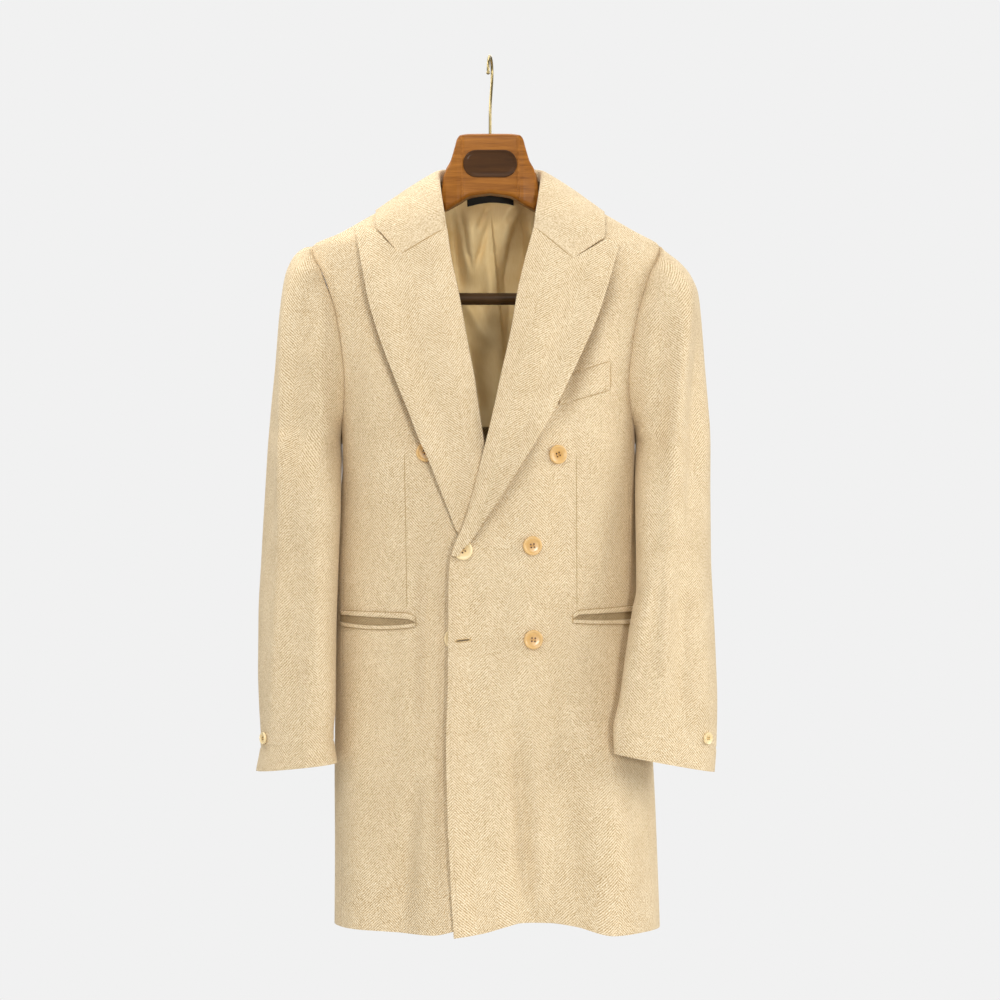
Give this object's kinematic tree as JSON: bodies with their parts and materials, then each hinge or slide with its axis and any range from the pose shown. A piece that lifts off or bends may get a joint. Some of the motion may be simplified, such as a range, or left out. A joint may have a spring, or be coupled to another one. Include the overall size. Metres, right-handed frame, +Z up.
{
  "type": "double-breasted coat on a hanger",
  "caption": "Double-breasted herringbone coat with peaked lapels, jetted pockets and a satin half lining, hanging fastened on a wooden hanger with a trouser bar and a brass hook.",
  "frame": {"origin": "the highest inner point of the hook's bend, where it bears on a rail", "axes": "+Z up, the coat faces -Y, +X is the wearer's left"},
  "size_m": [0.5773, 0.2334, 1.1024],
  "materials": {
    "herringbone_wool": "matte woven wool",
    "satin": "satin",
    "label_tape": "matte",
    "button_horn": "polished horn",
    "varnished_wood": "varnished",
    "dark_wood": "stained and varnished",
    "brass": "polished"
  },
  "bodies": {
    "root": {"left_front": "herringbone_wool", "right_front": "herringbone_wool", "back": "herringbone_wool", "left_side": "herringbone_wool", "right_side": "herringbone_wool", "left_sleeve": "herringbone_wool", "right_sleeve": "herringbone_wool", "left_lapel": "herringbone_wool", "right_lapel": "herringbone_wool", "collar": "herringbone_wool", "breast_welt": "herringbone_wool", "right_pocket_upper": "herringbone_wool", "right_pocket_lower": "herringbone_wool", "left_pocket_upper": "herringbone_wool", "left_pocket_lower": "herringbone_wool", "button_left_top": "button_horn", "button_left_middle": "button_horn", "button_left_low": "button_horn", "button_right_top": "button_horn", "button_fastened": "button_horn", "button_right_low": "button_horn", "button_left_cuff": "button_horn", "button_right_cuff": "button_horn", "back_lining": "satin", "neck_label": "label_tape", "hanger_yoke": "varnished_wood", "hanger_plaque": "dark_wood", "hanger_bar": "dark_wood", "hanger_hook": "brass"}
  },
  "joints": []
}
